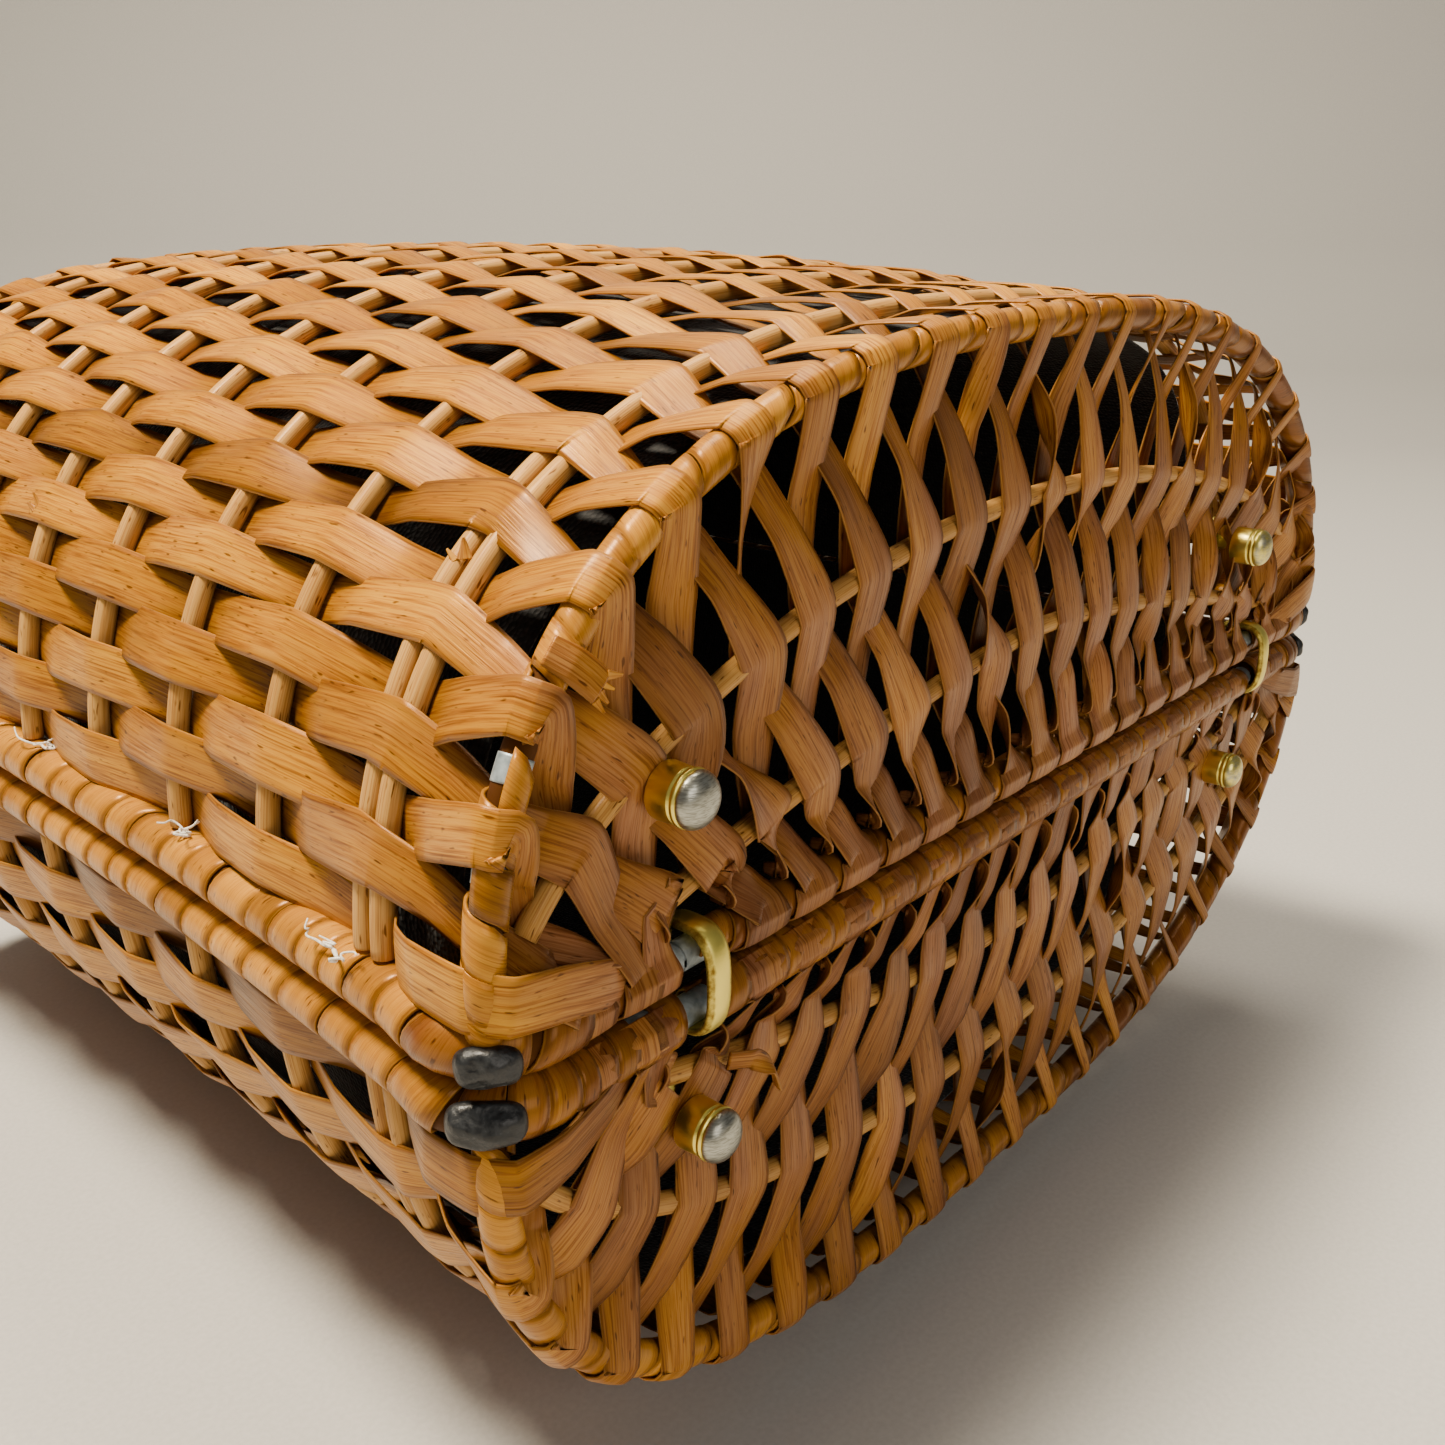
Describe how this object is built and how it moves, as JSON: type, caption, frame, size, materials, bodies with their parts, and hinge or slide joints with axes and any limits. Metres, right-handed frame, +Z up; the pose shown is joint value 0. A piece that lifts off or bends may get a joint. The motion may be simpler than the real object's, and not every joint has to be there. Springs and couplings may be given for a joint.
{
  "type": "hinged woven wicker handbag",
  "caption": "Wicker handbag in two hinged halves, woven of flat strips on reed stakes, with brass feet and hinge rings, leather corners and wrapped handles; lying on one face.",
  "frame": {"origin": "under the middle of the bag's bounding box, on the surface it lies on", "axes": "+X along the base seam, +Y from the base with its feet to the top with its handles, +Z up, from the lower half to the upper half"},
  "size_m": [0.275, 0.339, 0.1853],
  "materials": {
    "woven_strips": "flat bark strips, caramel brown, split and a little twisted, with grain along them",
    "wrapped_skein": "wire wound with flat golden strips, lacquered",
    "peeled_reed": "round peeled reed, pale tan, satin",
    "lining_cloth": "black woven cloth",
    "black_leather": "black leather, worn smooth",
    "brass": "polished, tips worn to grey"
  },
  "bodies": {
    "lower_half": {"lower_base_arch": "wrapped_skein", "lower_base_rod_inner": "peeled_reed", "lower_base_rod_outer": "peeled_reed", "lower_clasp_arm": "brass", "lower_corner_patch_left": "black_leather", "lower_corner_patch_right": "black_leather", "lower_foot_left": "brass", "lower_foot_right": "brass", "lower_foot_washer_left": "brass", "lower_foot_washer_right": "brass", "lower_handle": "wrapped_skein", "lower_lining": "lining_cloth", "lower_rim": "wrapped_skein", "lower_stake_1a": "peeled_reed", "lower_stake_1b": "peeled_reed", "lower_stake_2": "peeled_reed", "lower_stake_3": "peeled_reed", "lower_stake_4": "peeled_reed", "lower_stake_5": "peeled_reed", "lower_stake_6": "peeled_reed", "lower_stake_7": "peeled_reed", "lower_stake_8": "peeled_reed", "lower_stake_9": "peeled_reed", "lower_top_arch": "wrapped_skein", "lower_top_rod_inner": "peeled_reed", "lower_top_rod_outer": "peeled_reed", "lower_weave": "woven_strips"},
    "upper_half": {"hinge_ring_left": "brass", "hinge_ring_right": "brass", "upper_base_arch": "wrapped_skein", "upper_base_rod_inner": "peeled_reed", "upper_base_rod_outer": "peeled_reed", "upper_clasp_arm": "brass", "upper_corner_patch_left": "black_leather", "upper_corner_patch_right": "black_leather", "upper_foot_left": "brass", "upper_foot_right": "brass", "upper_foot_washer_left": "brass", "upper_foot_washer_right": "brass", "upper_handle": "wrapped_skein", "upper_lining": "lining_cloth", "upper_rim": "wrapped_skein", "upper_stake_1a": "peeled_reed", "upper_stake_1b": "peeled_reed", "upper_stake_2": "peeled_reed", "upper_stake_3": "peeled_reed", "upper_stake_4": "peeled_reed", "upper_stake_5": "peeled_reed", "upper_stake_6": "peeled_reed", "upper_stake_7": "peeled_reed", "upper_stake_8": "peeled_reed", "upper_stake_9": "peeled_reed", "upper_top_arch": "wrapped_skein", "upper_top_rod_inner": "peeled_reed", "upper_top_rod_outer": "peeled_reed", "upper_weave": "woven_strips"}
  },
  "joints": [
    {"name": "base_hinge", "type": "hinge", "parent": "lower_half", "child": "upper_half", "pos_m": [0, -0.161, 0.08809], "axis": [1, 0, 0], "range_deg": [0, 100]}
  ]
}
